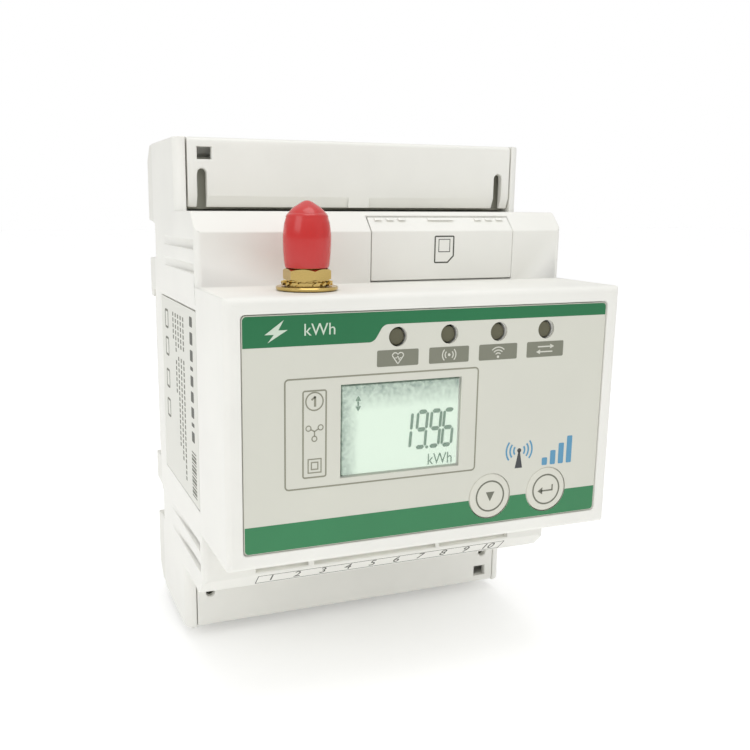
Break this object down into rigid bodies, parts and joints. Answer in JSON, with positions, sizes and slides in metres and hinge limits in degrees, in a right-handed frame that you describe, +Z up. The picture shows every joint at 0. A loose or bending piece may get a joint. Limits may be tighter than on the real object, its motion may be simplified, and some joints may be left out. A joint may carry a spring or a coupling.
{
  "type": "smart electric meter",
  "caption": "Rail-mounted smart electric meter: stepped housing with a display and two keys on the front block, hinged terminal covers, a card door and a capped antenna socket.",
  "frame": {"origin": "middle of the flat face that seats on the front of a 35 mm rail", "axes": "+X to the right seen from the front, +Y backwards out of the seat towards the rail, +Z up"},
  "size_m": [0.072, 0.064, 0.0972],
  "materials": {
    "housing_plastic": "fine spark-eroded texture, warm white",
    "base_plastic": "fine texture, warm light grey",
    "terminal_plastic": "smooth dark grey",
    "zinc_steel": "zinc plated",
    "tinned_steel": "tin plated",
    "printed_film": "printed polycarbonate film",
    "black_plastic": "moulded",
    "key_film": "embossed film",
    "window_acrylic": "clear",
    "display_cell": "liquid crystal cell, pale green",
    "white_plastic": "diffusing",
    "lamp_lens": "dark olive lens",
    "label_stock": "printed label",
    "red_vinyl": "glossy dipped vinyl",
    "gold_plate": "gold plated, turned",
    "clip_plastic": "moulded nylon",
    "board_laminate": "solder mask green",
    "blue_sleeve": "shrink sleeve"
  },
  "bodies": {
    "meter": {"antenna_connector": "gold_plate", "antenna_lead": "black_plastic", "antenna_nut": "gold_plate", "backup_battery": "tinned_steel", "bottom_screw_01": "zinc_steel", "bottom_screw_02": "zinc_steel", "bottom_screw_03": "zinc_steel", "bottom_screw_04": "zinc_steel", "bottom_screw_05": "zinc_steel", "bottom_screw_06": "zinc_steel", "bottom_screw_07": "zinc_steel", "bottom_screw_08": "zinc_steel", "bottom_screw_09": "zinc_steel", "bottom_screw_10": "zinc_steel", "bottom_terminal_block": "terminal_plastic", "clip_spring": "zinc_steel", "current_transformer_1": "blue_sleeve", "current_transformer_2": "blue_sleeve", "current_transformer_3": "blue_sleeve", "display_backlight": "white_plastic", "display_glass": "display_cell", "display_strip": "black_plastic", "display_window": "window_acrylic", "flat_washer": "gold_plate", "front_board": "board_laminate", "front_overlay": "printed_film", "key_switch_down": "black_plastic", "key_switch_enter": "black_plastic", "light_pipe_1": "lamp_lens", "light_pipe_2": "lamp_lens", "light_pipe_3": "lamp_lens", "light_pipe_4": "lamp_lens", "link_board": "board_laminate", "lock_washer": "gold_plate", "main_housing": "housing_plastic", "meter_chip": "black_plastic", "power_board": "board_laminate", "radio_module": "tinned_steel", "rating_label": "label_stock", "rear_base": "base_plastic", "sim_card": "white_plastic", "sim_socket": "tinned_steel", "supply_capacitor": "blue_sleeve", "supply_transformer": "black_plastic", "top_screw_01": "zinc_steel", "top_screw_02": "zinc_steel", "top_screw_03": "zinc_steel", "top_screw_04": "zinc_steel", "top_screw_05": "zinc_steel", "top_screw_06": "zinc_steel", "top_terminal_block": "terminal_plastic"},
    "top_cover": {"top_terminal_cover": "housing_plastic"},
    "bottom_cover": {"bottom_terminal_cover": "housing_plastic"},
    "down_key": {"key_down": "key_film"},
    "enter_key": {"key_enter": "key_film"},
    "card_door": {"sim_cover": "housing_plastic"},
    "dust_cap": {"antenna_cap": "red_vinyl"},
    "rail_clip": {"din_clip": "clip_plastic"}
  },
  "joints": [
    {"name": "top_cover_hinge", "type": "hinge", "parent": "meter", "child": "top_cover", "pos_m": [0, -0.0195, 0.04585], "axis": [-1, 0, 0], "range_deg": [0, 100]},
    {"name": "bottom_cover_hinge", "type": "hinge", "parent": "meter", "child": "bottom_cover", "pos_m": [0, -0.0195, -0.04585], "axis": [1, 0, 0], "range_deg": [0, 100]},
    {"name": "down_key_press", "type": "slide", "parent": "meter", "child": "down_key", "axis": [0, 1, 0], "range_m": [0, 0.0005], "stiffness_N_per_m": 4000},
    {"name": "enter_key_press", "type": "slide", "parent": "meter", "child": "enter_key", "axis": [0, 1, 0], "range_m": [0, 0.0005], "stiffness_N_per_m": 4000},
    {"name": "card_door_slide", "type": "slide", "parent": "meter", "child": "card_door", "axis": [0, -1, 0], "range_m": [0, 0.025]},
    {"name": "dust_cap_slide", "type": "slide", "parent": "meter", "child": "dust_cap", "axis": [0, 0, 1], "range_m": [0, 0.014]},
    {"name": "rail_clip_slide", "type": "slide", "parent": "meter", "child": "rail_clip", "axis": [0, 0, -1], "range_m": [0, 0.004], "stiffness_N_per_m": 1500, "deforming": ["clip_spring"]}
  ]
}
